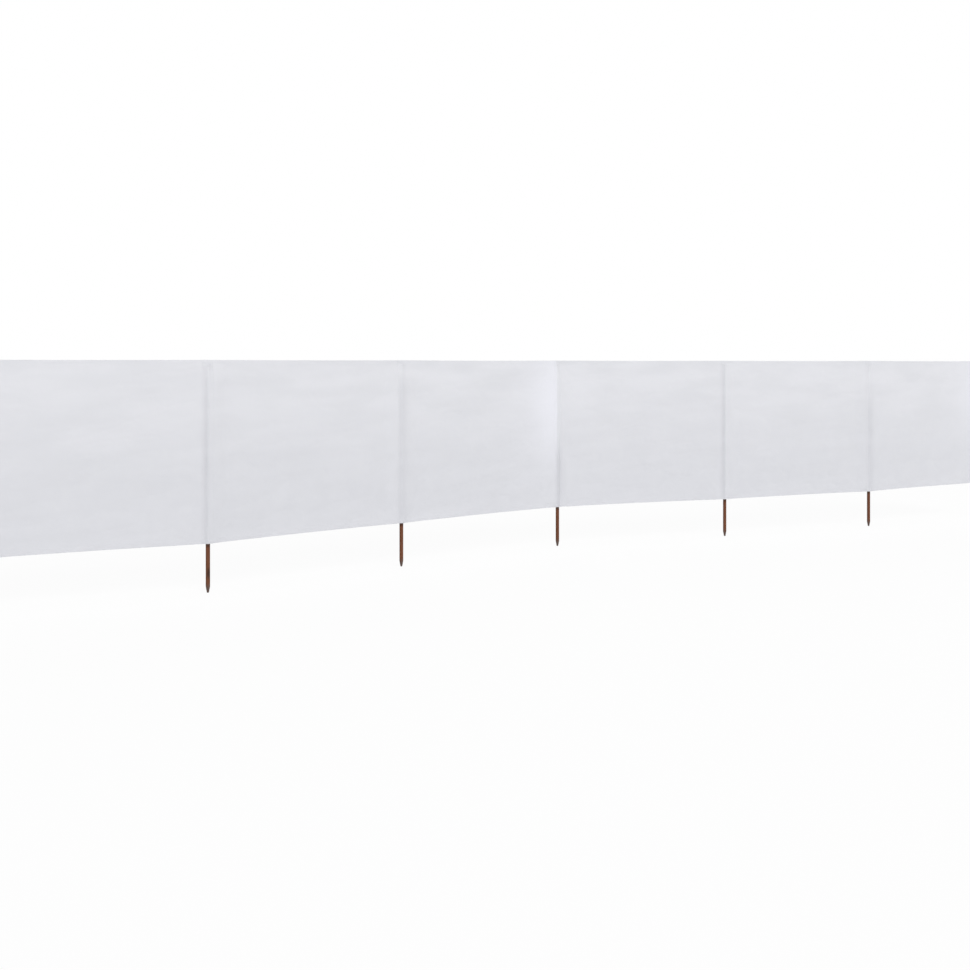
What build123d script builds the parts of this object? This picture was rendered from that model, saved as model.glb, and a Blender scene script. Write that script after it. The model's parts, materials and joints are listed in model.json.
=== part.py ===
from build123d import *
from math import atan, degrees
import os

# Beach windbreak: one strip of cloth in six bays, held upright by seven round wooden stakes that
# stand in sleeves sewn into it. Lengths are in millimetres and angles in degrees. The windbreak
# runs along +X in a gentle zigzag, +Z is up, and the origin is on the flat tip of the middle stake.

# Layout, seen from above
stake_spacing = 1600
bay_headings = [-4, 10, 9, -10, -7, 1]

# Cloth
cloth_height = 1200
cloth_thickness = 1
bay_bow = 12
hem_depth = 20
hem_layers = 3

# Stakes
exposed_length = 320
stake_diameter = 28
tip_length = 42
tip_diameter = 13
edge_chamfer = 2

# Sleeves
sleeve_layers = 2
sleeve_clearance = 0.3
stitch_reach = 30
seam_allowance = 8
seam_gap = 0.2
head_cover = 40
gathered_diameter = 16

# Heights
cloth_bottom = exposed_length
cloth_top = cloth_bottom + cloth_height
hem_line = cloth_top - hem_depth
stake_top = cloth_top - head_cover
tunnel_top = stake_top + sleeve_clearance

# Thicknesses and radii
hem_thickness = hem_layers * cloth_thickness
tunnel_radius = stake_diameter / 2 + sleeve_clearance
seam_reach = stitch_reach + seam_allowance

# The wind bows each bay, so its cloth meets the seams at a small angle to its heading
cloth_chord = stake_spacing - 2 * seam_reach
seam_lean = degrees(2 * atan(2 * bay_bow / cloth_chord))

# Each stake stands one spacing from the last, along the heading of the bay between them
stake_places = [Vector(0, 0)]
for heading in bay_headings:
    stake_places.append(stake_places[-1] + Vector(stake_spacing, 0).rotate(Axis.Z, heading))
middle_place = stake_places[len(stake_places) // 2]
stake_places = [place - middle_place for place in stake_places]


def reach_along(heading, reach):
    """A step of a given length along a heading."""
    return Vector(reach, 0).rotate(Axis.Z, heading)


def seams_of(index):
    """The seams of a sleeve, each as the place where a bay begins and the way the seam points."""
    seams = []
    if index > 0:
        heading = bay_headings[index - 1]
        place = stake_places[index] - reach_along(heading, seam_reach)
        seams.append((place, heading - seam_lean + 180))
    if index < len(bay_headings):
        heading = bay_headings[index]
        place = stake_places[index] + reach_along(heading, seam_reach)
        seams.append((place, heading + seam_lean))
    return seams


def wrap_outline(index, height, radius, seam_thickness):
    """Cloth pulled tight round a stake, from one row of stitches to the other."""
    with BuildSketch(Plane.XY.offset(height)) as outline:
        with Locations(stake_places[index]):
            Circle(radius)
        for place, direction in seams_of(index):
            stitches = place - reach_along(direction, seam_allowance)
            with Locations(Location(stitches, (0, 0, direction))):
                Rectangle(seam_gap, seam_thickness)
        make_hull()
    return outline.sketch


def allowance_outline(index, height, seam_thickness):
    """The flat seam allowances, where the layers lie on each other."""
    with BuildSketch(Plane.XY.offset(height)) as outline:
        for place, direction in seams_of(index):
            with Locations(Location(place, (0, 0, direction))):
                Rectangle(seam_allowance, seam_thickness, align=(Align.MAX, Align.CENTER))
    return outline.sketch


def bay_outline(bay, height, thickness):
    """The cloth of one bay from seam to seam, bowed by the wind."""
    to_seam = reach_along(bay_headings[bay], seam_reach)
    with BuildSketch(Plane.XY.offset(height)) as outline:
        with BuildLine():
            SagittaArc(stake_places[bay] + to_seam, stake_places[bay + 1] - to_seam, bay_bow)
        trace(line_width=thickness)
    return outline.sketch


os.makedirs("parts", exist_ok=True)

# Stakes: turned, with a blunt tapered foot, and chamfered at both ends
for number, place in enumerate(stake_places, start=1):
    with BuildPart() as stake:
        with BuildSketch(Plane(origin=place, x_dir=(1, 0, 0), z_dir=(0, -1, 0))):
            with BuildLine():
                Polyline(
                    (0, 0),
                    (tip_diameter / 2, 0),
                    (stake_diameter / 2, tip_length),
                    (stake_diameter / 2, stake_top),
                    (0, stake_top),
                    close=True,
                )
            make_face()
        revolve(axis=Axis(place, (0, 0, 1)))
        rims = stake.edges().filter_by(GeomType.CIRCLE).sort_by(Axis.Z)
        chamfer([rims[0], rims[-1]], edge_chamfer)
    stake.part.label = f"stake_{number}"
    export_step(stake.part, f"parts/stake_{number}.step")

# Sleeves: a tunnel of cloth round each stake, gathered over its head and hemmed at both ends
tunnel_height = tunnel_top - cloth_bottom
seam_thickness = sleeve_layers * cloth_thickness
hem_seam_thickness = sleeve_layers * hem_thickness
for index in range(len(stake_places)):
    wrapped = wrap_outline(index, cloth_bottom, tunnel_radius + cloth_thickness, seam_thickness)
    over_head = wrap_outline(index, tunnel_top, tunnel_radius + cloth_thickness, seam_thickness)
    gathered = wrap_outline(index, hem_line, gathered_diameter / 2, seam_thickness)
    closed_hem = wrap_outline(index, hem_line, gathered_diameter / 2, hem_seam_thickness)
    mouth = wrap_outline(index, cloth_bottom, tunnel_radius + hem_thickness, hem_seam_thickness)
    tunnel = wrap_outline(index, cloth_bottom, tunnel_radius, seam_gap)
    with BuildPart() as sleeve:
        extrude(wrapped, amount=tunnel_height)
        loft([over_head, gathered])
        extrude(closed_hem, amount=hem_depth)
        extrude(mouth, amount=hem_depth)
        extrude(tunnel, amount=tunnel_height, mode=Mode.SUBTRACT)
        extrude(allowance_outline(index, cloth_bottom, seam_thickness), amount=cloth_height)
        extrude(allowance_outline(index, cloth_bottom, hem_seam_thickness), amount=hem_depth)
        extrude(allowance_outline(index, hem_line, hem_seam_thickness), amount=hem_depth)
    sleeve.part.label = f"sleeve_{index + 1}"
    export_step(sleeve.part, f"parts/sleeve_{index + 1}.step")

# Bays: the cloth between the seams, with its upper and lower edges folded into hems
for bay in range(len(bay_headings)):
    with BuildPart() as bottom_hem:
        extrude(bay_outline(bay, cloth_bottom, hem_thickness), amount=hem_depth)
    bottom_hem.part.label = f"bottom_hem_{bay + 1}"
    export_step(bottom_hem.part, f"parts/bottom_hem_{bay + 1}.step")

    with BuildPart() as cloth:
        cloth_outline = bay_outline(bay, cloth_bottom + hem_depth, cloth_thickness)
        extrude(cloth_outline, amount=cloth_height - 2 * hem_depth)
    cloth.part.label = f"cloth_{bay + 1}"
    export_step(cloth.part, f"parts/cloth_{bay + 1}.step")

    with BuildPart() as top_hem:
        extrude(bay_outline(bay, hem_line, hem_thickness), amount=hem_depth)
    top_hem.part.label = f"top_hem_{bay + 1}"
    export_step(top_hem.part, f"parts/top_hem_{bay + 1}.step")
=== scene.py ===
"""Looks, light and camera of a beach windbreak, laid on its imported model.

Lengths are in metres. Stake k stands in sleeve k, and bay k runs from stake k to stake k + 1.
Along a bay, s is the way from its first stake towards the next, n the way to the left of that,
and z the height. The camera stands on the side where n is negative, which is called the front.
"""

import json
import logging
import math
from dataclasses import dataclass, field, replace
from enum import Enum
from typing import Any, Mapping, Optional, Sequence, Union

import bpy
import numpy as np
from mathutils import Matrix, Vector

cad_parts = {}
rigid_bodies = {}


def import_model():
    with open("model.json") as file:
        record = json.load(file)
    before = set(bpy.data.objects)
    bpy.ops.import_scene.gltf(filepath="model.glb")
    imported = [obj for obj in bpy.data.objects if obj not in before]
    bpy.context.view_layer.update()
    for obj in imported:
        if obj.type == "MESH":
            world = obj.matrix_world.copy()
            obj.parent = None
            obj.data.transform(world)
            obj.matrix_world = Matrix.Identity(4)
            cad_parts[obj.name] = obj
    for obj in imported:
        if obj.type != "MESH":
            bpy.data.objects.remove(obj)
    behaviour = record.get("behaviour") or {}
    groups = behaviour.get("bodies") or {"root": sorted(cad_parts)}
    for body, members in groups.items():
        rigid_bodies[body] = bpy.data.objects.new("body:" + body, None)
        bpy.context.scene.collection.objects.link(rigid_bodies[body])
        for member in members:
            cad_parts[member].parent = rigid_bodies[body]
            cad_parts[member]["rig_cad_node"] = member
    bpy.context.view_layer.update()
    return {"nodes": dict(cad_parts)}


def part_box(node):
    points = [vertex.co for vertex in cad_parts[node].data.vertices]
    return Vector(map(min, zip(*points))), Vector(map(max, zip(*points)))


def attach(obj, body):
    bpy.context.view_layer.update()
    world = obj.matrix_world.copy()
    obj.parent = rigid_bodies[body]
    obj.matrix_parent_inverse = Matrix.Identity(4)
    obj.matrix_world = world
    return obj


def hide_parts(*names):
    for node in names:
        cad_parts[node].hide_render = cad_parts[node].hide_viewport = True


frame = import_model()

LOG = logging.getLogger("windbreak")
# The cloth's map of painted shade and painted highlight.
PAINTED_SHADING_MAP = "marks"
MILLIMETRE = 0.001
FULL_TURN = 2.0 * math.pi
TINY = 1e-9

Array = np.ndarray
Pair = tuple[float, float]
Triple = tuple[float, float, float]
Value = Union["Wire", float]


class Slot(Enum):
    """The record's material slots."""

    CLOTH = "cloth"
    WOOD = "wood"


# Curves


def smooth(amount: Array) -> Array:
    """A soft step from 0 to 1."""
    held = np.clip(amount, 0.0, 1.0)
    return held * held * (3.0 - 2.0 * held)


def bell(distance: Array, width: float) -> Array:
    """A soft ridge, 1 at distance 0, that is down to 0.37 at its width."""
    return np.exp(-((distance / width) ** 2))


def arch(share: Array) -> Array:
    """A parabola, 0 at both ends of a span and 1 in its middle."""
    return 4.0 * share * (1.0 - share)


def spaced(near: Array, low: float, high: float, spacing: float) -> Array:
    """Places between two ends, close together near both.

    Args:
        near: how far from either end the close places are, in rising order.
        low: the lower end.
        high: the upper end.
        spacing: the most that two of the other places may be apart.

    Returns:
        The places, in rising order.
    """
    first, last = low + near[-1], high - near[-1]
    count = int(math.ceil((last - first) / spacing)) + 1
    between = np.linspace(first, last, count)
    return np.concatenate([low + near[:-1], between, (high - near[:-1])[::-1]])


class Ripples:
    """Smooth, seeded, uneven waves over a plane."""

    cells = 256
    gain = 1.5

    def __init__(self, seed: int) -> None:
        """Draws the slopes that the waves follow.

        Args:
            seed: the number that fixes the draw.
        """
        draw = np.random.default_rng(seed)
        self.order = draw.permutation(self.cells)
        turns = draw.uniform(0.0, FULL_TURN, self.cells)
        self.slopes = np.stack([np.cos(turns), np.sin(turns)], axis=-1)

    def at(self, x: Array, y: Array) -> Array:
        """The waves' height, from about -1 to 1.

        Args:
            x: places across the plane, in cells.
            y: places up the plane, in cells.

        Returns:
            One height a place.
        """
        x, y = np.broadcast_arrays(x, y)
        column, row = np.floor(x).astype(int), np.floor(y).astype(int)
        right, up = x - column, y - row
        corners = []
        for step_x, step_y in ((0, 0), (1, 0), (0, 1), (1, 1)):
            first = self.order[(column + step_x) % self.cells]
            slope = self.slopes[self.order[(first + row + step_y) % self.cells]]
            corners.append(slope[..., 0] * (right - step_x) + slope[..., 1] * (up - step_y))
        across, upward = smooth(right), smooth(up)
        low = corners[0] + across * (corners[1] - corners[0])
        high = corners[2] + across * (corners[3] - corners[2])
        return self.gain * (low + upward * (high - low))


@dataclass(frozen=True)
class Waves:
    """One kind of waves in the cloth: its depth, its size both ways, and how it lies."""

    depth: float
    wide: float
    tall: float
    lean: float = 0.0
    fall: float = 0.0
    start: float = 0.0

    def at(self, ripples: Ripples, s: Array, z: Array, shift: float) -> Array:
        """How far the waves stand out at places s across and z up, from this far on in ripples."""
        across = (s + self.lean * z) / self.wide + shift
        return self.depth * ripples.at(across, (z - self.fall * s) / self.tall + self.start)


# Shaders


@dataclass(frozen=True)
class Wire:
    """One output socket of a shader's node. Arithmetic on it adds Math nodes."""

    shader: "Shader"
    socket: Optional[bpy.types.NodeSocket]

    def math(self, operation: str, *values: Value) -> "Wire":
        """The output of one Math node with these inputs."""
        settings = {"operation": operation}
        return self.shader.node("ShaderNodeMath", settings, dict(enumerate(values)))

    def __add__(self, other: Value) -> "Wire":
        """Sum."""
        return self.math("ADD", self, other)

    def __radd__(self, other: float) -> "Wire":
        """Sum, with a number first."""
        return self.math("ADD", other, self)

    def __sub__(self, other: Value) -> "Wire":
        """Difference."""
        return self.math("SUBTRACT", self, other)

    def __rsub__(self, other: float) -> "Wire":
        """Difference, with a number first."""
        return self.math("SUBTRACT", other, self)

    def __mul__(self, other: Value) -> "Wire":
        """Product."""
        return self.math("MULTIPLY", self, other)

    def __rmul__(self, other: float) -> "Wire":
        """Product, with a number first."""
        return self.math("MULTIPLY", other, self)

    def __truediv__(self, other: Value) -> "Wire":
        """Quotient."""
        return self.math("DIVIDE", self, other)

    def sine(self) -> "Wire":
        """Sine."""
        return self.math("SINE", self)

    def held(self) -> "Wire":
        """The value, kept between 0 and 1."""
        return self.math("MINIMUM", self.math("MAXIMUM", self, 0.0), 1.0)

    def ramp(self, start: float, end: float) -> "Wire":
        """A soft step, 0 at start and 1 at end, which may be the lower one."""
        share = ((self - start) / (end - start)).held()
        return share * share * (3.0 - 2.0 * share)


@dataclass(frozen=True)
class Clouds:
    """Uneven clouds, by how many there are in a metre along x, y and z."""

    scales: Triple
    detail: float = 2.0
    rough: float = 0.5
    shift: Triple = (0.0, 0.0, 0.0)
    between: Optional[Pair] = None


class Shader:
    """The node tree of a material or of the world."""

    def __init__(self, owner: Union[bpy.types.Material, bpy.types.World]) -> None:
        """Empties the owner's node tree.

        Args:
            owner: what the nodes are for.
        """
        owner.use_nodes = True
        self.tree = owner.node_tree
        self.tree.nodes.clear()
        self.kind = "World" if isinstance(owner, bpy.types.World) else "Material"

    def node(
        self,
        kind: str,
        settings: Optional[Mapping[str, Any]] = None,
        inputs: Optional[Mapping[Union[str, int], Any]] = None,
        output: Union[str, int] = 0,
    ) -> Wire:
        """Adds one node.

        Args:
            kind: the node's type.
            settings: its own settings, set first.
            inputs: a value or a Wire for each socket, by name or number.
            output: the socket to give back.

        Returns:
            That output, or an empty Wire for a node that has none.
        """
        made = self.tree.nodes.new(kind)
        for name, value in (settings or {}).items():
            setattr(made, name, value)
        for name, value in (inputs or {}).items():
            if isinstance(value, Wire):
                self.tree.links.new(value.socket, made.inputs[name])
            else:
                made.inputs[name].default_value = value
        return Wire(self, made.outputs[output] if len(made.outputs) else None)

    def parts(self, vector: Wire) -> list[Wire]:
        """A vector's x, y and z."""
        split = self.node("ShaderNodeSeparateXYZ", {}, {0: vector})
        return [Wire(self, socket) for socket in split.socket.node.outputs]

    def place(self) -> list[Wire]:
        """The place on the object: the whole vector, then its x, y and z."""
        whole = self.node("ShaderNodeTexCoord", output="Object")
        return [whole, *self.parts(whole)]

    def marks(self) -> list[Wire]:
        """How much painted shade and painted highlight the cloth gets, from its map of them."""
        return self.parts(self.node("ShaderNodeUVMap", {"uv_map": PAINTED_SHADING_MAP}))[:2]

    def stretched(self, whole: Wire, scales: Triple, shift: Triple = (0.0, 0.0, 0.0)) -> Wire:
        """A vector with its own scale and shift along each axis."""
        inputs = {0: whole, 1: scales, 2: shift}
        return self.node("ShaderNodeVectorMath", {"operation": "MULTIPLY_ADD"}, inputs)

    def noise(self, whole: Wire, clouds: Clouds) -> Wire:
        """Adds clouds.

        Args:
            whole: the place on the object.
            clouds: their sizes, their layers and the soft step that they go through.

        Returns:
            Their value, from 0 to 1.
        """
        inputs = {
            "Vector": self.stretched(whole, clouds.scales, clouds.shift),
            "Scale": 1.0,
            "Detail": clouds.detail,
            "Roughness": clouds.rough,
        }
        value = self.node("ShaderNodeTexNoise", {}, inputs, "Fac")
        return value.ramp(*clouds.between) if clouds.between else value

    def mix(self, share: Value, first: Any, second: Any) -> Wire:
        """A colour between two.

        Args:
            share: how much of the second there is.
            first: the colour at 0.
            second: the colour at 1.

        Returns:
            The mixed colour.
        """
        # A Mix node takes its two colours at sockets 6 and 7, and gives one at output 2
        colours = {
            number: value if isinstance(value, Wire) else (*value, 1.0)
            for number, value in ((6, first), (7, second))
        }
        return self.node("ShaderNodeMix", {"data_type": "RGBA"}, {0: share, **colours}, 2)

    def bump(self, height: Wire, depth: float, below: Optional[Wire] = None) -> Wire:
        """A surface raised by a height.

        Args:
            height: from 0 to 1.
            depth: how far 1 stands above 0, in metres.
            below: the normal of a coarser bump that this one lies on.

        Returns:
            The normal.
        """
        inputs = {"Height": height, "Distance": depth, "Strength": 1.0}
        if below is not None:
            inputs["Normal"] = below
        return self.node("ShaderNodeBump", {}, inputs)

    def surface(self, shader: Wire) -> None:
        """Sends a shader to the output."""
        self.node(f"ShaderNodeOutput{self.kind}", {}, {"Surface": shader})

    def principled(self, inputs: Mapping[str, Any]) -> None:
        """Sends a Principled shader with these inputs to the output."""
        self.surface(self.node("ShaderNodeBsdfPrincipled", {}, inputs))


@dataclass(frozen=True)
class ClothFinish:
    """Pale plain-woven cloth, with painted shade that darkens it towards its lower edge."""

    low: float
    high: float
    name: str = "pale_cloth"
    # Painted shade and light among these tones: the second is mixed in broad clouds as painted
    # shade of slack folds; the third darkens the lower edge as painted shade and also colours dust
    # specks and the gaps between threads; the fourth is painted shade along the stakes' folds and
    # on the sleeves' heads; the fifth is a painted highlight.
    clean: Triple = (0.806, 0.808, 0.841)
    shaded: Triple = (0.769, 0.773, 0.805)
    shade_and_dust: Triple = (0.711, 0.716, 0.750)
    painted_shade_colour: Triple = (0.560, 0.560, 0.600)
    painted_highlight: Triple = (0.868, 0.872, 0.925)
    clouds: Clouds = Clouds((1.8, 0.0, 5.5), 2.5, between=(0.34, 0.66))
    patches: Clouds = Clouds((7.0, 7.0, 7.0), 4.0, 0.6, between=(0.3, 0.8))
    patch_share: float = 0.25
    painted_shade_patch_share: float = 0.5
    shade_below: float = 0.15
    specks: Clouds = Clouds((420.0, 420.0, 420.0), between=(0.69, 0.78))
    specks_below: float = 0.45
    specks_share: float = 0.30
    thread: float = 0.9 * MILLIMETRE
    slubs_across: Clouds = Clouds((32.0, 0.0, 820.0), 1.0)
    slubs_up: Clouds = Clouds((820.0, 0.0, 32.0), 1.0, shift=(0.0, 4.0, 0.0))
    weave_share: float = 0.22
    slub_share: float = 0.30
    gap_share: float = 1.4
    weave_depth: float = 0.14 * MILLIMETRE
    creases: Clouds = Clouds((13.0, 13.0, 13.0), 3.0)
    crease_depth: float = 0.9 * MILLIMETRE
    roughness: float = 0.88
    slub_polish: float = 0.08
    gloss: float = 0.25
    sheen: float = 0.12
    sheen_roughness: float = 0.6

    def material(self) -> bpy.types.Material:
        """Builds the cloth's material.

        Returns:
            The material.
        """
        made = bpy.data.materials.new(self.name)
        shader = Shader(made)
        whole, across, _, height = shader.place()
        painted_shade, painted_highlight = shader.marks()

        # Painted shade: broad cloudy patches of a darker tone stand in for the shade of slack
        # folds.
        colour = shader.mix(shader.noise(whole, self.clouds), self.clean, self.shaded)
        patches = shader.noise(whole, self.patches)
        # Painted shade: the cloth is painted darker towards its lower edge.
        downward = height.ramp(self.high, self.low + self.shade_below)
        uneven = 1.0 - self.patch_share + self.patch_share * patches
        colour = shader.mix(downward * uneven, colour, self.shade_and_dust)
        low_down = height.ramp(self.low + self.specks_below, self.low)
        specks = shader.noise(whole, self.specks) * low_down * self.specks_share
        colour = shader.mix(specks, colour, self.shade_and_dust)
        # Painted highlight beside some stakes, from the map.
        colour = shader.mix(painted_highlight, colour, self.painted_highlight)
        # Painted shade along the stakes' folds and on the sleeves' heads, from the map.
        uneven = 1.0 - self.painted_shade_patch_share / 2.0 + self.painted_shade_patch_share * patches
        colour = shader.mix(painted_shade * uneven, colour, self.painted_shade_colour)

        slubs_across = shader.noise(whole, self.slubs_across)
        slubs = slubs_across + shader.noise(whole, self.slubs_up) - 1.0
        turn = FULL_TURN / self.thread
        weave = (across * turn).sine() * (height * turn).sine()
        threads = 0.5 + self.weave_share * weave + self.slub_share * slubs
        gaps = (0.5 - threads).held() * self.gap_share
        creased = shader.bump(shader.noise(whole, self.creases), self.crease_depth)
        shader.principled({
            "Base Color": shader.mix(gaps, colour, self.shade_and_dust),
            "Roughness": self.roughness - self.slub_polish * slubs_across,
            "Specular IOR Level": self.gloss,
            "Sheen Weight": self.sheen,
            "Sheen Roughness": self.sheen_roughness,
            "Normal": shader.bump(threads, self.weave_depth, creased),
        })
        return made


@dataclass(frozen=True)
class ThreadFinish:
    """Twisted white sewing thread."""

    name: str = "white_thread"
    light: Triple = (0.80, 0.81, 0.83)
    dark: Triple = (0.66, 0.665, 0.68)
    twist: float = 0.7 * MILLIMETRE
    twist_depth: float = 0.05 * MILLIMETRE
    marks: Clouds = Clouds((60.0, 60.0, 60.0))
    worn: Pair = (0.4, 0.75)
    roughness: float = 0.55
    worn_roughness: float = 0.1

    def material(self) -> bpy.types.Material:
        """Builds the thread's material.

        Returns:
            The material.
        """
        made = bpy.data.materials.new(self.name)
        shader = Shader(made)
        whole, x, y, z = shader.place()
        strands = 0.5 + 0.5 * ((x + y + z) * (FULL_TURN / self.twist)).sine()
        marks = shader.noise(whole, self.marks)
        shader.principled({
            "Base Color": shader.mix(marks.ramp(*self.worn), self.light, self.dark),
            "Roughness": self.roughness + self.worn_roughness * marks,
            "Normal": shader.bump(strands, self.twist_depth),
        })
        return made


@dataclass(frozen=True)
class WoodFinish:
    """Turned softwood with a dull reddish-brown stain, greyed where it goes into the ground."""

    name: str = "stained_softwood"
    early: Triple = (0.222, 0.085, 0.042)
    late: Triple = (0.112, 0.038, 0.018)
    # The knots' colour, also used for the painted shadow under the cloth.
    knot_and_shadow: Triple = (0.051, 0.024, 0.015)
    greyed: Triple = (0.110, 0.090, 0.082)
    ring: float = 3.4 * MILLIMETRE
    ring_slant: float = 0.35
    lean: Clouds = Clouds((2.0, 2.0, 1.4))
    lean_depth: float = 0.02
    waver: Clouds = Clouds((130.0, 130.0, 2.4), 1.0)
    waver_depth: float = 0.007
    fibres: Clouds = Clouds((900.0, 900.0, 14.0), 3.0, 0.6)
    band_share: float = 0.55
    fibre_share: float = 0.75
    grain_cut: float = 0.15
    grain_depth: float = 0.25 * MILLIMETRE
    blotches: Clouds = Clouds((30.0, 30.0, 5.0), between=(0.35, 0.8))
    blotch_share: float = 0.4
    knot_scales: Triple = (9.0, 9.0, 3.2)
    knot_rim: Pair = (0.16, 0.05)
    knot_share: float = 0.85
    # Heights over which the painted shadow under the cloth fades in.
    shadow_under_cloth_between: Pair = (0.292, 0.306)
    greyed_between: Pair = (0.075, 0.020)
    greyed_edge: float = 0.03
    end_share: float = 0.75
    roughness: float = 0.62
    grain_roughness: float = 0.22
    gloss: float = 0.22

    def material(self) -> bpy.types.Material:
        """Builds the wood's material.

        Returns:
            The material.
        """
        made = bpy.data.materials.new(self.name)
        shader = Shader(made)
        whole, x, y, z = shader.place()
        lean, waver = shader.noise(whole, self.lean), shader.noise(whole, self.waver)
        across = x + self.ring_slant * y + self.lean_depth * lean + self.waver_depth * waver
        bands = 0.5 + 0.5 * (across * (FULL_TURN / self.ring)).sine()
        fibres = shader.noise(whole, self.fibres)
        grain = (self.band_share * bands + self.fibre_share * fibres - self.grain_cut).held()
        colour = shader.mix(grain, self.early, self.late)

        blotches = shader.noise(whole, self.blotches) * self.blotch_share
        colour = shader.mix(blotches, colour, self.late)
        cells = {"Vector": shader.stretched(whole, self.knot_scales), "Scale": 1.0}
        knots = shader.node("ShaderNodeTexVoronoi", {}, cells, "Distance").ramp(*self.knot_rim)
        colour = shader.mix(knots * self.knot_share, colour, self.knot_and_shadow)
        # Painted shadow: the stake is darker just under the cloth's lower edge.
        shadow_under_cloth = z.ramp(*self.shadow_under_cloth_between) * self.end_share
        colour = shader.mix(shadow_under_cloth, colour, self.knot_and_shadow)
        edge = z + self.greyed_edge * (fibres - 0.5)
        greyed = edge.ramp(*self.greyed_between) * self.end_share
        shader.principled({
            "Base Color": shader.mix(greyed, colour, self.greyed),
            "Roughness": self.roughness + self.grain_roughness * grain,
            "Specular IOR Level": self.gloss,
            "Normal": shader.bump(1.0 - grain, self.grain_depth),
        })
        return made


# Layout


@dataclass(frozen=True)
class Bay:
    """One bay's axes and rest line, seen from above."""

    number: int
    start: Array
    along: Array
    across: Array
    length: float
    bow: float
    seam_reach: float

    def rest(self, s: Array) -> Array:
        """How far the bowed cloth lies to the left of the line between its stakes."""
        return self.bow * arch((s - self.seam_reach) / (self.length - 2.0 * self.seam_reach))

    def place(self, s: Array, n: Array, z: Array) -> Array:
        """Points beside the bay's rest line.

        Args:
            s: the way along the bay.
            n: the way to the left of the rest line.
            z: the height.

        Returns:
            The points, with x, y and z last.
        """
        s, n, z = np.broadcast_arrays(s, n, z)
        left = (n + self.rest(s))[..., None] * self.across
        plan = self.start + s[..., None] * self.along + left
        return np.concatenate([plan, z[..., None]], axis=-1)


@dataclass(frozen=True)
class Layout:
    """Where the stakes stand and how high the cloth goes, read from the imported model."""

    stakes: Array
    stake_radius: float
    stake_top: float
    low: float
    high: float
    hem: float
    bow: float
    seam_reach: float

    @classmethod
    def from_frame(cls) -> "Layout":
        """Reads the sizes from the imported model's nodes.

        Returns:
            The layout.
        """
        count = sum(name.startswith("stake_") for name in frame["nodes"])
        boxes = [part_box(f"stake_{number}") for number in range(1, count + 1)]
        stakes = np.array([[(a.x + b.x) / 2.0, (a.y + b.y) / 2.0] for a, b in boxes])
        first, last = boxes[0]
        low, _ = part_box("bottom_hem_1")
        hem_low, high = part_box("top_hem_1")
        along = (stakes[1] - stakes[0]) / np.linalg.norm(stakes[1] - stakes[0])
        across = np.array([-along[1], along[0]])
        corners = np.array([list(v.co)[:2] for v in frame["nodes"]["cloth_1"].data.vertices])
        beside = (corners - stakes[0]) @ across
        return cls(
            stakes=stakes,
            stake_radius=(last.x - first.x) / 2.0,
            stake_top=last.z,
            low=low.z,
            high=high.z,
            hem=high.z - hem_low.z,
            bow=float(beside.max() + beside.min()),
            seam_reach=float(((corners - stakes[0]) @ along).min()),
        )

    def bays(self) -> list[Bay]:
        """Measures the bays between the stakes.

        Returns:
            The bays, from the first stake to the last.
        """
        made = []
        for number, (start, end) in enumerate(zip(self.stakes[:-1], self.stakes[1:]), start=1):
            length = float(np.linalg.norm(end - start))
            along = (end - start) / length
            across = np.array([-along[1], along[0]])
            made.append(Bay(number, start, along, across, length, self.bow, self.seam_reach))
        return made

    def rows(self, spacing: float) -> Array:
        """Heights of the cloth's rows, close together at both edges.

        Args:
            spacing: the most that two rows may be apart between the edges.

        Returns:
            The heights, upward.
        """
        on_hem = np.array([0.3, 2.0, 3.2, 4.0, 4.8, 7.0, 11.0, 14.5, 16.0, 17.5]) * MILLIMETRE
        past_hem = self.hem + np.array([0.0, 2.0, 6.0, 12.0]) * MILLIMETRE
        return spaced(np.concatenate([on_hem, past_hem]), self.low, self.high, spacing)

    def over_hem(self, z: Array, edge: float) -> Array:
        """1 over a hem and 0 between the hems, with a soft edge this wide."""
        to_edge = np.minimum(z - self.low, self.high - z)
        return 1.0 - smooth((to_edge - self.hem + MILLIMETRE) / edge)


# Pieces


def placed(name: str, data: bpy.types.ID) -> bpy.types.Object:
    """Puts a new object in the scene.

    Args:
        name: its name.
        data: its mesh, light or camera.

    Returns:
        The object.
    """
    made = bpy.data.objects.new(name, data)
    bpy.context.scene.collection.objects.link(made)
    return made


def mesh_piece(name: str, points: Array, faces: Array) -> bpy.types.Object:
    """Puts a smooth-shaded mesh in the scene.

    Args:
        name: its name.
        points: its points.
        faces: its faces, as numbers of points.

    Returns:
        The piece.
    """
    mesh = bpy.data.meshes.new(name)
    mesh.from_pydata(points.tolist(), [], faces.tolist())
    mesh.polygons.foreach_set("use_smooth", np.ones(len(faces), dtype=bool))
    return placed(name, mesh)


@dataclass(frozen=True)
class Patch:
    """A grid of points on the cloth, and how much painted shade and painted highlight each gets."""

    points: Array
    marks: Array


def cloth_piece(name: str, patches: Sequence[Patch], thickness: float) -> bpy.types.Object:
    """One mesh of several grids, with the cloth's thickness.

    Args:
        name: the piece's name.
        patches: the grids.
        thickness: the cloth's thickness.

    Returns:
        The piece.
    """
    faces, count = [], 0
    for patch in patches:
        rows, columns = patch.points.shape[:2]
        index = count + np.arange(rows * columns).reshape(rows, columns)
        corners = (index[:-1, :-1], index[:-1, 1:], index[1:, 1:], index[1:, :-1])
        faces.append(np.stack(corners, axis=-1).reshape(-1, 4))
        count += rows * columns
    loops = np.concatenate(faces)
    points = np.concatenate([patch.points.reshape(-1, 3) for patch in patches])
    marks = np.concatenate([patch.marks.reshape(-1, 2) for patch in patches])[loops.ravel()]
    made = mesh_piece(name, points, loops)
    # The map holds the painted shade and painted highlight of each point.
    made.data.uv_layers.new(name=PAINTED_SHADING_MAP).data.foreach_set("uv", marks.ravel())
    layer = made.modifiers.new("thickness", "SOLIDIFY")
    layer.thickness, layer.offset = thickness, 0.0
    return made


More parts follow.
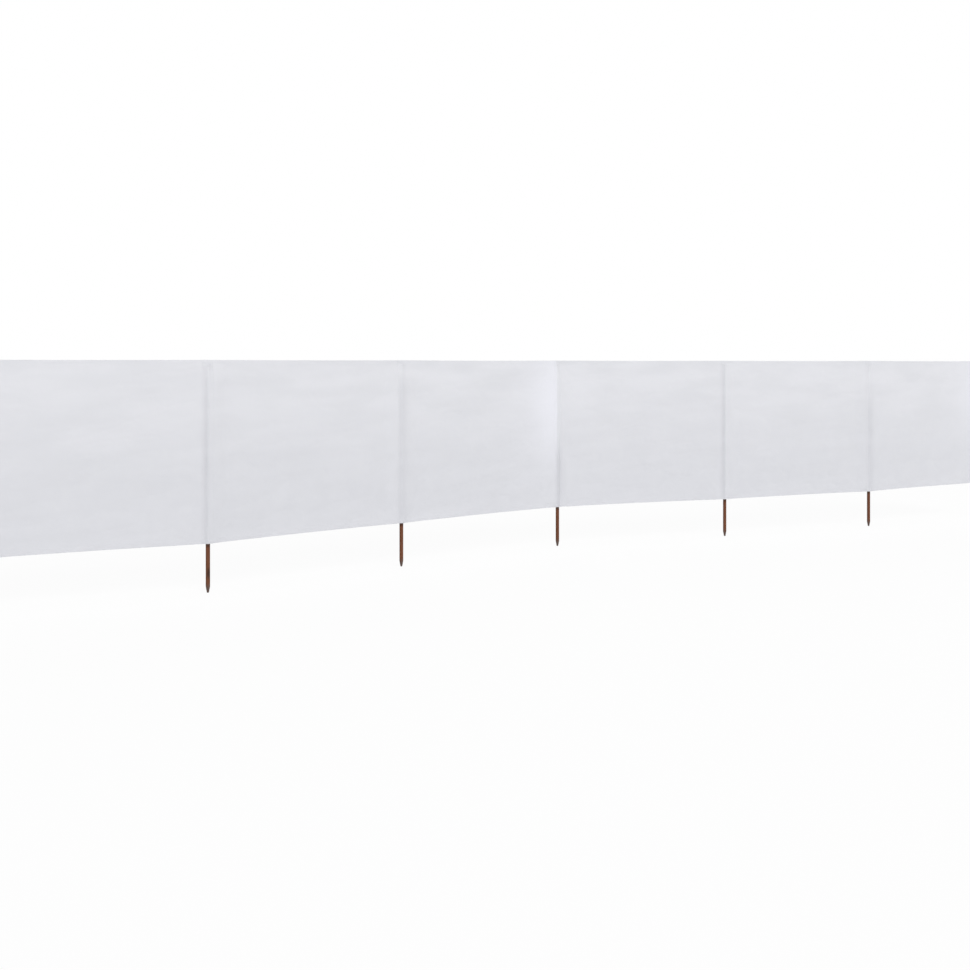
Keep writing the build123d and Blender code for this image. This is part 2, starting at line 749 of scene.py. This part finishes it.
@dataclass(frozen=True)
class Stitching:
    """Rows of short machine stitches that stand on the cloth."""

    length: float = 3.4 * MILLIMETRE
    pitch: float = 4.6 * MILLIMETRE
    width: float = 0.7 * MILLIMETRE

    def along(self, start: float, end: float) -> Array:
        """Places of the stitches' middles between two ends."""
        count = int((end - start) / self.pitch)
        return np.linspace(start + self.pitch / 2.0, end - self.pitch / 2.0, count)

    def piece(self, name: str, rows: Sequence[tuple[Array, Array]]) -> bpy.types.Object:
        """One mesh of many stitches, each drawn out to a point at both ends.

        Args:
            name: the piece's name.
            rows: for each row the two ends of its stitches, as points.

        Returns:
            The piece.
        """
        starts, ends = (np.concatenate([row[end] for row in rows]) for end in range(2))
        way = ends - starts
        way /= np.linalg.norm(way, axis=-1, keepdims=True)
        outward = np.cross(way, np.broadcast_to([0.0, 0.0, 1.0], way.shape))
        is_upright = np.linalg.norm(outward, axis=-1) < 0.5
        outward[is_upright] = [0.0, 1.0, 0.0]
        outward /= np.linalg.norm(outward, axis=-1, keepdims=True)
        side = np.cross(way, outward)
        half = self.width / 2.0
        middle = (starts + ends) / 2.0
        ring = [middle + half * step for step in (outward, side, -outward, -side)]
        corners = np.stack([starts, *ring, ends], axis=1)
        shape = np.array([[0, 2, 1], [0, 3, 2], [0, 4, 3], [0, 1, 4],
                          [5, 1, 2], [5, 2, 3], [5, 3, 4], [5, 4, 1]])
        faces = (6 * np.arange(len(starts))[:, None, None] + shape).reshape(-1, 3)
        return mesh_piece(name, corners.reshape(-1, 3), faces)


@dataclass(frozen=True)
class HemFold:
    """A strip of cloth from one raw edge to the other, folded back at both edges."""

    rows: Array
    layout: Layout

    def line(self) -> tuple[Array, Array]:
        """The strip's course up the cloth.

        Returns:
            For each row its height, and 1 on the folded-back side and 0 in front.
        """
        low, high, reach = self.layout.low, self.layout.high, self.layout.hem + TINY
        tail = self.rows[(self.rows >= low) & (self.rows <= low + reach)]
        head = self.rows[(self.rows <= high) & (self.rows >= high - reach)]
        heights = np.concatenate([tail[::-1], [low], self.rows, [high], head[::-1]])
        sides = (np.ones(len(tail)), [0.5], np.zeros(len(self.rows)), [0.5], np.ones(len(head)))
        return heights, np.concatenate(sides)


@dataclass(frozen=True)
class Hang:
    """How far behind its line a seam hangs, between two heights.

    Beside the seam, the cloth is back on its line after way_back.
    """

    back: float = 0.0
    way_back: float = 0.12
    top: float = 1.53
    top_fade: float = 0.16
    bottom: float = 0.25
    bottom_fade: float = 0.12

    def at(self, z: Array) -> Array:
        """The distance at each height."""
        below_top = smooth((self.top - z) / self.top_fade)
        return self.back * below_top * smooth((z - self.bottom) / self.bottom_fade)


@dataclass(frozen=True)
class PaintedShadeAndLight:
    """Painted shade along the upright fold at a stake and on the sleeve's head, and a painted
    highlight on the cloth to the left of it.
    """

    # Painted shade along the fold:
    strength: float = 0.0
    peak: float = 0.0
    left: float = 0.03
    right: float = 0.03
    top: float = 1.51
    fade: float = 0.20
    # A painted highlight on the cloth to the left of the stake:
    bleach: float = 0.0
    highlight_reach: float = 0.30
    highlight_start: float = 4.8 * MILLIMETRE
    highlight_edge: float = 16.0 * MILLIMETRE
    highlight_height: float = 1.20
    highlight_fade: float = 0.46
    # Painted shade on the sleeve's closed head, which faces the light:
    head: float = 0.35
    head_height: float = 1.492
    head_wide: float = 22.0 * MILLIMETRE
    head_tall: float = 13.0 * MILLIMETRE

    def at(self, beside: Array, z: Array) -> Array:
        """How much painted shade and how much painted highlight the cloth gets.

        Args:
            beside: how far to the right of the stake the places are.
            z: their heights.

        Returns:
            Two shares from 0 to 1 for each place, last.
        """
        away = beside - self.peak
        # Painted shade along the fold, reaching further on one side of the stake.
        painted_shade = self.strength * bell(away, np.where(away < 0.0, self.left, self.right))
        painted_shade = painted_shade * smooth((self.top - z) / self.fade)
        # Painted shade on the sleeve's closed head.
        at_head = bell(z - self.head_height, self.head_tall) * bell(beside, self.head_wide)
        # Painted highlight to the left of the stake, strongest at mid height.
        painted_highlight = self.bleach * bell(beside, self.highlight_reach)
        painted_highlight = painted_highlight * smooth((-beside - self.highlight_start) / self.highlight_edge)
        painted_highlight = painted_highlight * bell(z - self.highlight_height, self.highlight_fade)
        return np.stack(np.broadcast_arrays(painted_shade + self.head * at_head, painted_highlight), axis=-1)


@dataclass(frozen=True)
class BayCloth:
    """The cloth of one bay from seam to seam, with its hems and creases."""

    bay: Bay
    layout: Layout
    first_hang: Hang
    last_hang: Hang
    first_painted_shading: PaintedShadeAndLight
    last_painted_shading: PaintedShadeAndLight
    thickness: float = 0.5 * MILLIMETRE
    layer_step: float = 0.6 * MILLIMETRE
    tuck: float = 10.0 * MILLIMETRE
    near_columns: tuple[float, ...] = (0, 3, 6, 10, 13, 17, 22, 28, 35, 43, 52, 63, 76)
    column_spacing: float = 16.0 * MILLIMETRE
    row_spacing: float = 11.0 * MILLIMETRE
    edge_sag: float = 2.0 * MILLIMETRE
    broad: Waves = Waves(6.0 * MILLIMETRE, 0.60, 0.24, start=3.0)
    streaks: Waves = Waves(2.2 * MILLIMETRE, 0.42, 0.085, lean=0.9, fall=0.1, start=50.0)
    fine: Waves = Waves(0.3 * MILLIMETRE, 0.06, 0.025)
    fold_lines: Waves = Waves(1.0, 0.45, 0.13, lean=0.9, fall=0.32, start=31.0)
    fold_width: float = 0.06
    fold_depth: float = 1.0 * MILLIMETRE
    slack_way: float = 0.07
    fans: Waves = Waves(1.4 * MILLIMETRE, 0.2, 0.6)
    fan_start: float = 0.15
    fan_reach: float = 0.45
    puckers: Waves = Waves(0.6 * MILLIMETRE, 0.019, 0.9)
    pucker_start: float = 8.0 * MILLIMETRE
    pucker_reach: float = 35.0 * MILLIMETRE
    hem_rise: float = 0.4 * MILLIMETRE
    hem_edge: float = 2.0 * MILLIMETRE
    stitch_rows: Pair = (4.0 * MILLIMETRE, 16.0 * MILLIMETRE)
    stitch_dent: float = 0.3 * MILLIMETRE
    dent_width: float = 1.0 * MILLIMETRE
    stitch_rise: float = 0.1 * MILLIMETRE
    bay_shift: float = 17.3
    ripples: Ripples = field(default_factory=lambda: Ripples(11))

    def creases(self, s: Array, z: Array) -> Array:
        """How far the slack cloth stands behind its rest line.

        Args:
            s: the way along the bay.
            z: the height.

        Returns:
            The distance, for each place.
        """
        shift = self.bay_shift * self.bay.number
        inner = np.minimum(s, self.bay.length - s) - self.bay.seam_reach
        slack = sum(
            waves.at(self.ripples, s, z, shift) for waves in (self.broad, self.streaks, self.fine)
        )
        lines = self.fold_lines.at(self.ripples, s, z, shift)
        slack = slack + self.fold_depth * bell(lines, self.fold_width)
        for corner, side in ((0.0, 1.0), (self.bay.length, -1.0)):
            for level in (self.layout.low, self.layout.high):
                away, rise = side * (s - corner), np.abs(z - level)
                reach = np.hypot(away, rise)
                turn = np.arctan2(rise, np.maximum(away, TINY))
                fan = self.fans.at(self.ripples, turn, reach, shift + level)
                slack = slack + fan * smooth(reach / self.fan_start) * bell(reach, self.fan_reach)
        puckers = self.puckers.at(self.ripples, z, s, shift)
        puckers = puckers * smooth(inner / self.pucker_start) * bell(inner, self.pucker_reach)
        return slack * smooth(inner / self.slack_way) + puckers

    def hang(self, s: Array, z: Array) -> Array:
        """How far the cloth lies back beside its seams.

        Args:
            s: the way along the bay.
            z: the height.

        Returns:
            The distance, for each place.
        """
        back = 0.0
        for hang, away in ((self.first_hang, s), (self.last_hang, self.bay.length - s)):
            gone = smooth((away - self.bay.seam_reach) / hang.way_back)
            back = back + hang.at(z) * (1.0 - gone)
        return back

    def hem_relief(self, z: Array) -> Array:
        """How far the front stands behind its plain place over the hems and at their stitches.

        Args:
            z: the height.

        Returns:
            The distance, for each place.
        """
        up, down = z - self.layout.low, self.layout.high - z
        sewn = sum(bell(down - row, self.dent_width) for row in self.stitch_rows)
        sewn = sewn + bell(up - self.stitch_rows[-1], self.dent_width)
        return self.stitch_dent * sewn - self.hem_rise * self.layout.over_hem(z, self.hem_edge)

    def point(self, s: Array, z: Array, behind: Array) -> Array:
        """Points on the creased cloth.

        Args:
            s: the way along the bay.
            z: the height.
            behind: 0 in front and 1 on the folded-back side of a hem.

        Returns:
            The points.
        """
        s, z, behind = np.broadcast_arrays(s, z, behind)
        n = self.creases(s, z) + self.hang(s, z)
        n = n + (1.0 - behind) * self.hem_relief(z) + behind * self.layer_step
        share = (z - self.layout.low) / (self.layout.high - self.layout.low)
        middle = np.clip(arch(s / self.bay.length), 0.0, 1.0)
        return self.bay.place(s, n, z + self.edge_sag * middle * (1.0 - 2.0 * share))

    def columns(self) -> Array:
        """The ways along the bay at which the grid has its columns."""
        near, start = np.array(self.near_columns) * MILLIMETRE, self.bay.seam_reach - self.tuck
        return spaced(near, start, self.bay.length - start, self.column_spacing)

    def build(self) -> bpy.types.Object:
        """Builds the cloth as one folded sheet.

        Returns:
            The piece.
        """
        heights, behind = HemFold(self.layout.rows(self.row_spacing), self.layout).line()
        s, z = np.meshgrid(self.columns(), heights)
        # Painted shade and painted highlight at each point of the bay.
        marks = self.first_painted_shading.at(s, z) + self.last_painted_shading.at(s - self.bay.length, z)
        patch = Patch(self.point(s, z, behind[:, None]), marks)
        return cloth_piece(f"bay_cloth_{self.bay.number}", [patch], self.thickness)

    def stitch(self, stitching: Stitching) -> bpy.types.Object:
        """Sews both hems, on their front and their back.

        Args:
            stitching: the stitches.

        Returns:
            The stitches' piece.
        """
        start = self.bay.seam_reach
        s = stitching.along(start, self.bay.length - start)
        half = stitching.length / 2.0
        levels = [self.layout.high - row for row in self.stitch_rows]
        levels.append(self.layout.low + self.stitch_rows[-1])
        rows = []
        for level in levels:
            for behind, out in ((0.0, -1.0), (1.0, 1.0)):
                proud = out * (self.thickness / 2.0 + self.stitch_rise)
                shift = np.append(proud * self.bay.across, 0.0)
                ends = (self.point(s + step, level, behind) + shift for step in (-half, half))
                rows.append(tuple(ends))
        return stitching.piece(f"bay_stitches_{self.bay.number}", rows)


@dataclass(frozen=True)
class Seam:
    """Where one layer of a sleeve is sewn to a bay, row by row: its stitches and its edge."""

    stitches: Array
    edge: Array


@dataclass(frozen=True)
class Sleeve:
    """The cloth round one stake, from seam to seam, closed over the stake's head."""

    number: int
    layout: Layout
    left: Optional[Bay]
    right: Optional[Bay]
    left_hang: Hang
    right_hang: Hang
    painted_shading: PaintedShadeAndLight
    hollow: float = 0.0
    hollow_place: float = 21.5 * MILLIMETRE
    hollow_width: float = 7.0 * MILLIMETRE
    hollow_top: float = 10.0 * MILLIMETRE
    hollow_fade: float = 0.16
    thickness: float = 0.5 * MILLIMETRE
    clearance: float = 1.0 * MILLIMETRE
    allowance: float = 8.0 * MILLIMETRE
    layer: float = 0.55 * MILLIMETRE
    hem_spread: float = 0.65 * MILLIMETRE
    hem_step: float = 0.6 * MILLIMETRE
    hem_edge: float = 3.0 * MILLIMETRE
    row_spacing: float = 20.0 * MILLIMETRE
    row_decimals: int = 6
    arc_step: float = 2.6 * MILLIMETRE
    flank_points: int = 10
    ear_points: int = 5
    closing_start: float = 1.0 * MILLIMETRE
    closing_height: float = 22.0 * MILLIMETRE
    closing_row: float = 2.1 * MILLIMETRE
    closing_lead: float = 12.0 * MILLIMETRE
    closed_share: float = 0.02
    upright_wrinkles: Waves = Waves(0.35 * MILLIMETRE, 0.021, 0.055, start=5.0)
    level_wrinkles: Waves = Waves(0.175 * MILLIMETRE, 0.05, 0.017)
    loose_way: float = 6.0 * MILLIMETRE
    gather_depth: float = 0.8 * MILLIMETRE
    gather_pitch: float = 8.5 * MILLIMETRE
    gather_flat: float = 0.6
    stitch_dent: float = 0.25 * MILLIMETRE
    dent_width: float = 1.5 * MILLIMETRE
    sleeve_shift: float = 31.7
    front_shift: float = 7.0
    ripples: Ripples = field(default_factory=lambda: Ripples(23))

    @property
    def centre(self) -> Array:
        """The stake's centre, seen from above."""
        return self.layout.stakes[self.number - 1]

    def beside(self, bay: Bay, reach: float, out: Array, z: Array) -> Array:
        """Points on a bay's side of the stake.

        Args:
            bay: the bay.
            reach: how far they are from the stake, along the bay.
            out: how far to the left of the bay's cloth they are.
            z: their heights.

        Returns:
            The points.
        """
        begins = bay is self.right
        hang = self.right_hang if begins else self.left_hang
        s = np.full(np.shape(z), reach if begins else bay.length - reach)
        return bay.place(s, out + hang.at(z), z)

    def seam(self, bay: Bay, out: float, z: Array) -> Seam:
        """The seam of one layer, which lies this far out to the left of the bay's cloth."""
        reaches = (self.layout.seam_reach - self.allowance, self.layout.seam_reach)
        return Seam(*(self.beside(bay, reach, out, z)[:, :2] for reach in reaches))

    def strips(self, z: Array) -> list[tuple[Seam, Seam]]:
        """The strips' seams; each strip goes round the stake with the stake on its left.

        Args:
            z: the heights of the sleeve's rows.

        Returns:
            The two seams of each strip, the front one first.
        """
        layer = self.layer
        if self.left is None:
            return [(self.seam(self.right, layer, z), self.seam(self.right, -layer, z))]
        if self.right is None:
            return [(self.seam(self.left, -layer, z), self.seam(self.left, layer, z))]
        return [
            (self.seam(self.left, -layer, z), self.seam(self.right, -layer, z)),
            (self.seam(self.right, layer, z), self.seam(self.left, layer, z)),
        ]

    def course(self, start: Seam, end: Seam) -> Array:
        """A strip's line seen from above, pulled tight round the stake.

        Args:
            start: the seam that it comes from.
            end: the seam that it goes to.

        Returns:
            The line's points, for each row.
        """
        radius = self.layout.stake_radius + self.clearance
        touches = []
        for seam, side in ((start, -1.0), (end, 1.0)):
            gap = self.centre - seam.stitches
            distance = np.linalg.norm(gap, axis=-1)
            turn = np.arctan2(gap[:, 1], gap[:, 0]) + side * np.arcsin(radius / distance)
            reach = np.sqrt(distance**2 - radius**2)[:, None]
            touches.append(seam.stitches + reach * np.stack([np.cos(turn), np.sin(turn)], -1))
        first, last = (
            np.arctan2(*(touch - self.centre).T[::-1])[:, None] for touch in touches
        )
        last = np.where(last < first, last + FULL_TURN, last)
        count = int(math.ceil((last - first).max() * radius / self.arc_step))
        arc = first + np.linspace(0.0, 1.0, count + 1) * (last - first)
        round_stake = self.centre + radius * np.stack([np.cos(arc), np.sin(arc)], axis=-1)

        def between(one: Array, other: Array, points: int) -> Array:
            """Points on the way from one place to another, row by row."""
            return one[:, None] + np.linspace(0.0, 1.0, points)[:, None] * (other - one)[:, None]

        ways = [
            between(start.edge, start.stitches, self.ear_points)[:, :-1],
            between(start.stitches, touches[0], self.flank_points)[:, :-1],
            round_stake,
            between(touches[1], end.stitches, self.flank_points)[:, 1:],
            between(end.stitches, end.edge, self.ear_points)[:, 1:],
        ]
        return np.concatenate(ways, axis=1)

    def rows(self) -> Array:
        """Heights of the sleeve's rows, close together where it closes over the stake.

        Returns:
            The heights, upward.
        """
        ends = (self.layout.stake_top - self.closing_lead, self.layout.high - self.layout.hem)
        rows = [self.layout.rows(self.row_spacing), np.arange(*ends, self.closing_row)]
        return np.unique(np.round(np.concatenate(rows), self.row_decimals))

    def outward(self, line: Array) -> tuple[Array, Array]:
        """How far along a strip its points are, and which way it faces there.

        Args:
            line: the strip's course, row by row.

        Returns:
            The way along it, and the direction away from the stake, for each point.
        """
        steps = np.diff(line, axis=1)
        lengths = np.linalg.norm(steps, axis=-1)
        way = np.concatenate([np.zeros((len(line), 1)), np.cumsum(lengths, axis=1)], axis=1)
        heading = steps / lengths[..., None]
        middle = heading[:, 1:] + heading[:, :-1]
        heading = np.concatenate([heading[:, :1], middle, heading[:, -1:]], axis=1)
        heading = heading / np.linalg.norm(heading, axis=-1, keepdims=True)
        return way, np.stack([heading[..., 1], -heading[..., 0]], axis=-1)

    def flattened(self, line: Array) -> Array:
        """Where a strip's points come to lie when it is pressed flat between its seams.

        Args:
            line: the strip's course, row by row.

        Returns:
            The places.
        """
        arms = [line[:, side] - self.centre for side in (0, -1)]
        arms = [arm / np.linalg.norm(arm, axis=-1, keepdims=True) for arm in arms]
        reaches = np.stack([((line - self.centre) * arm[:, None]).sum(-1) for arm in arms])
        is_first = (reaches[0] >= reaches[1])[..., None]
        arm = np.where(is_first, arms[0][:, None], arms[1][:, None])
        return self.centre + arm * np.maximum(reaches.max(axis=0), 0.0)[..., None]

    def strip(self, line: Array, fold: HemFold, is_front: bool) -> Patch:
        """One strip of the sleeve with both its hems.

        Args:
            line: the strip's course, row by row.
            fold: the strip's course up the cloth.
            is_front: whether it is on the side that may fall in.

        Returns:
            The strip's grid.
        """
        z, behind = (column[:, None] for column in fold.line())
        way, outward = self.outward(line)
        foot = self.flattened(line)
        depth = np.linalg.norm(line - foot, axis=-1)
        top = self.layout.stake_top + self.closing_start
        closing = smooth((z - top) / self.closing_height)
        share = 1.0 - (1.0 - self.closed_share) * closing
        base = np.minimum(depth, self.layer)
        kept = (base + (depth - base) * share) / np.maximum(depth, TINY)

        shift = self.sleeve_shift * self.number + self.front_shift * is_front
        inner = np.minimum(way, way[:, -1:] - way)
        loose = smooth((inner - self.allowance) / self.loose_way)
        wrinkles = sum(
            waves.at(self.ripples, way, z, shift)
            for waves in (self.upright_wrinkles, self.level_wrinkles)
        )
        gathers = np.sin(way * FULL_TURN / self.gather_pitch)
        gathers = self.gather_depth * gathers * closing * (1.0 - self.gather_flat * closing)
        sewn = self.stitch_dent * bell(inner - self.allowance / 2.0, self.dent_width)
        hem = self.layout.over_hem(z, self.hem_edge)
        raised = hem * (self.hem_spread + self.hem_step * (1.0 - behind))
        raised = raised + loose * (wrinkles * share + gathers) - sewn * (1.0 - behind)
        if is_front:
            on_left = (line - self.centre) @ self.left.along
            down = smooth((self.layout.high - self.hollow_top - z) / self.hollow_fade)
            fallen = bell(on_left + self.hollow_place, self.hollow_width) * down
            raised = raised - self.hollow * fallen
        plan = foot + (line - foot) * kept[..., None] + outward * raised[..., None]
        points = np.concatenate([plan, np.broadcast_to(z[..., None], (*raised.shape, 1))], -1)
        run = (self.right or self.left).along
        # Painted shade and painted highlight at each point of the strip.
        return Patch(points, self.painted_shading.at((line - self.centre) @ run, z))

    def build(self) -> tuple[bpy.types.Object, float]:
        """Builds the sleeve.

        Returns:
            The piece, and how wide its strips are when they lie flat.
        """
        fold = HemFold(self.rows(), self.layout)
        patches, width = [], 0.0
        for index, (start, end) in enumerate(self.strips(fold.line()[0])):
            is_front = index == 0 and self.left is not None and self.right is not None
            line = self.course(start, end)
            patches.append(self.strip(line, fold, is_front))
            width += float(np.linalg.norm(np.diff(line, axis=1), axis=-1).sum(axis=1).mean())
        return cloth_piece(f"sleeve_cloth_{self.number}", patches, self.thickness), width

    def stitch(self, stitching: Stitching) -> bpy.types.Object:
        """Sews the seams, on their front and their back.

        Args:
            stitching: the stitches.

        Returns:
            The stitches' piece.
        """
        heights = stitching.along(self.layout.low, self.layout.high)
        hem = self.layout.over_hem(heights, self.hem_edge)
        proud = self.layer + (self.hem_spread + self.hem_step) * hem
        proud = proud + self.thickness / 2.0 - self.stitch_dent / 2.0
        middle = self.layout.seam_reach - self.allowance / 2.0
        half = stitching.length / 2.0
        rows = []
        for bay in filter(None, (self.left, self.right)):
            for side in (-1.0, 1.0):
                ends = (
                    self.beside(bay, middle, side * proud, heights + step) for step in (-half, half)
                )
                rows.append(tuple(ends))
        return stitching.piece(f"sleeve_stitches_{self.number}", rows)


# The whole


@dataclass(frozen=True)
class Windbreak:
    """The whole windbreak: stakes, sleeves and bays."""

    layout: Layout
    cloth: bpy.types.Material
    thread: bpy.types.Material
    wood: bpy.types.Material
    stitching: Stitching = Stitching()

    def folds(self) -> dict[int, tuple[Hang, Hang, PaintedShadeAndLight, float]]:
        """The upright folds at the stakes, by number.

        Returns:
            How the seams hang to the left and to the right of the stake, the painted shade and
            painted highlight at the fold, and how deep the sleeve's front falls in to the left of
            the stake.
        """
        # Painted shade along each fold and on each sleeve's head, with a painted highlight beside
        # stakes 4 and 7.
        left = PaintedShadeAndLight(0.26, -5.0 * MILLIMETRE, left=0.027, right=0.007, fade=0.32)
        left_again = replace(left, strength=0.16, fade=0.42)
        right = PaintedShadeAndLight(0.32, -22.0 * MILLIMETRE, left=0.009, right=0.062, top=1.47)
        right_again = replace(right, strength=0.31, peak=-10.0 * MILLIMETRE, fade=0.45)
        foot = PaintedShadeAndLight(0.58, 2.0 * MILLIMETRE, left=0.020, right=0.034, top=0.90, bleach=1.0)
        end = PaintedShadeAndLight(0.10)
        plain = Hang()
        flush = Hang(-10.0 * MILLIMETRE)
        tucked = Hang(6.0 * MILLIMETRE, 0.05, top=1.0)
        return {
            1: (plain, plain, end, 0.0),
            2: (plain, flush, left, 1.0 * MILLIMETRE),
            3: (flush, flush, right, 0.0),
            4: (flush, tucked, foot, 0.0),
            5: (plain, flush, left_again, 1.0 * MILLIMETRE),
            6: (flush, flush, right_again, 0.0),
            7: (plain, plain, replace(end, bleach=0.6), 0.0),
        }

    def dress(self, piece: bpy.types.Object, material: bpy.types.Material) -> None:
        """Gives a piece its material and its body.

        Args:
            piece: the piece.
            material: its material.
        """
        piece.data.materials.clear()
        piece.data.materials.append(material)
        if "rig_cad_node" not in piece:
            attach(piece, "root")
        LOG.info("%s: %d faces", piece.name, len(piece.data.polygons))

    def lay(
        self,
        piece: bpy.types.Object,
        sewn: bpy.types.Object,
        nodes: Sequence[str],
    ) -> None:
        """Dresses a sheet and its stitches, and says how it was cut.

        Args:
            piece: the sheet.
            sewn: its stitches.
            nodes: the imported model's nodes that it stands for.
        """
        self.dress(piece, self.cloth)
        self.dress(sewn, self.thread)
        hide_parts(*nodes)
        strip = self.layout.high - self.layout.low + 2.0 * self.layout.hem

    def build(self) -> None:
        """Builds and dresses every piece."""
        bays, folds = self.layout.bays(), self.folds()
        numbers = range(1, len(self.layout.stakes) + 1)
        for number in numbers:
            self.dress(frame["nodes"][f"stake_{number}"], self.wood)
        for number in numbers:
            left = bays[number - 2] if number > 1 else None
            right = bays[number - 1] if number <= len(bays) else None
            sleeve = Sleeve(number, self.layout, left, right, *folds[number])
            piece, width = sleeve.build()
            sewn = sleeve.stitch(self.stitching)
            self.lay(piece, sewn, [f"sleeve_{number}"])
        for bay in bays:
            first, last = folds[bay.number], folds[bay.number + 1]
            cloth = BayCloth(bay, self.layout, first[1], last[0], first[2], last[2])
            piece, sewn = cloth.build(), cloth.stitch(self.stitching)
            width = bay.length - 2.0 * (bay.seam_reach - cloth.tuck)
            nodes = [f"{part}_{bay.number}" for part in ("cloth", "top_hem", "bottom_hem")]
            sleeves = [f"sleeve_cloth_{number}" for number in (bay.number, bay.number + 1)]
            self.lay(piece, sewn, nodes)


@dataclass(frozen=True)
class Studio:
    """A white room with soft light, and the camera at the photograph's place."""

    eye: Triple = (-5.959, -8.482, 1.496)
    turn: float = -31.804
    lens: float = 46.81
    sensor: float = 36.0
    shift_y: float = -0.1252
    sight: float = 500.0
    sky: float = 0.44
    sky_colour: Triple = (0.985, 0.99, 1.0)
    white: Triple = (1.0, 1.0, 1.0)
    key: float = 1.63
    key_from: Triple = (-0.03, -0.75, 0.66)
    fill: float = 0.70
    fill_from: Triple = (0.35, 0.80, 0.50)
    lamp_angle: float = 28.0
    floor_size: float = 160.0
    floor_colour: Triple = (0.86, 0.86, 0.86)
    floor_white: float = 0.94
    floor_fade: Pair = (7.0, 14.0)

    def camera(self) -> None:
        """Adds the camera."""
        data = bpy.data.cameras.new("camera")
        data.sensor_width, data.lens, data.shift_y = self.sensor, self.lens, self.shift_y
        data.clip_end = self.sight
        made = placed("camera", data)
        made.location = self.eye
        made.rotation_euler = (math.radians(90.0), 0.0, math.radians(self.turn))
        bpy.context.scene.camera = made

    def seen(self, shader: Shader) -> Wire:
        """1 for a ray that shows the background: straight, or by a gloss or through glass."""
        names = ("Is Camera Ray", "Is Glossy Ray", "Is Transmission Ray")
        return sum(shader.node("ShaderNodeLightPath", output=name) for name in names).held()

    def world(self) -> None:
        """Lights the scene from all round, before a white background."""
        made = bpy.data.worlds.new("studio")
        bpy.context.scene.world = made
        shader = Shader(made)
        light, white = (
            shader.node("ShaderNodeBackground", {}, {"Color": (*colour, 1.0), "Strength": strength})
            for colour, strength in ((self.sky_colour, self.sky), (self.white, 1.0))
        )
        inputs = {0: self.seen(shader), 1: light, 2: white}
        shader.surface(shader.node("ShaderNodeMixShader", {}, inputs))

    def lamp(self, name: str, power: float, way: Triple) -> None:
        """Adds one soft light.

        Args:
            name: the light's name.
            power: its strength.
            way: the direction that it comes from.
        """
        data = bpy.data.lights.new(name, "SUN")
        data.energy, data.angle = power, math.radians(self.lamp_angle)
        made = placed(name, data)
        made.rotation_mode = "QUATERNION"
        made.rotation_quaternion = Vector(way).to_track_quat("Z", "Y")

    def floor(self) -> None:
        """Adds a white floor that takes a faint shadow."""
        corners = np.array([[-1.0, -1.0, 0.0], [1.0, -1.0, 0.0], [1.0, 1.0, 0.0], [-1.0, 1.0, 0.0]])
        made = mesh_piece("floor", self.floor_size / 2.0 * corners, np.array([[0, 1, 2, 3]]))
        material = bpy.data.materials.new("white_floor")
        shader = Shader(material)
        matt = shader.node("ShaderNodeBsdfDiffuse", {}, {"Color": (*self.floor_colour, 1.0)})
        white = shader.node("ShaderNodeEmission", {}, {"Color": (*self.white, 1.0)})
        whole = shader.node("ShaderNodeTexCoord", output="Object")
        away = shader.node("ShaderNodeVectorMath", {"operation": "LENGTH"}, {0: whole}, "Value")
        share = self.floor_white + (1.0 - self.floor_white) * away.ramp(*self.floor_fade)
        inputs = {0: self.seen(shader) * share, 1: matt, 2: white}
        shader.surface(shader.node("ShaderNodeMixShader", {}, inputs))
        made.data.materials.append(material)

    def build(self) -> None:
        """Adds the camera, the lights and the floor."""
        self.camera()
        self.world()
        self.lamp("key", self.key, self.key_from)
        self.lamp("fill", self.fill, self.fill_from)
        self.floor()


def main() -> None:
    """Builds the studio and the windbreak."""
    logging.basicConfig(level=logging.INFO, format="%(message)s")
    scene = bpy.context.scene
    scene.view_settings.view_transform = "Standard"
    Studio().build()
    layout = Layout.from_frame()
    LOG.info("bow %.4f, seam reach %.4f", layout.bow, layout.seam_reach)
    Windbreak(
        layout,
        cloth=ClothFinish(low=layout.low, high=layout.high).material(),
        thread=ThreadFinish().material(),
        wood=WoodFinish().material(),
    ).build()


if __name__ == "__main__":
    main()
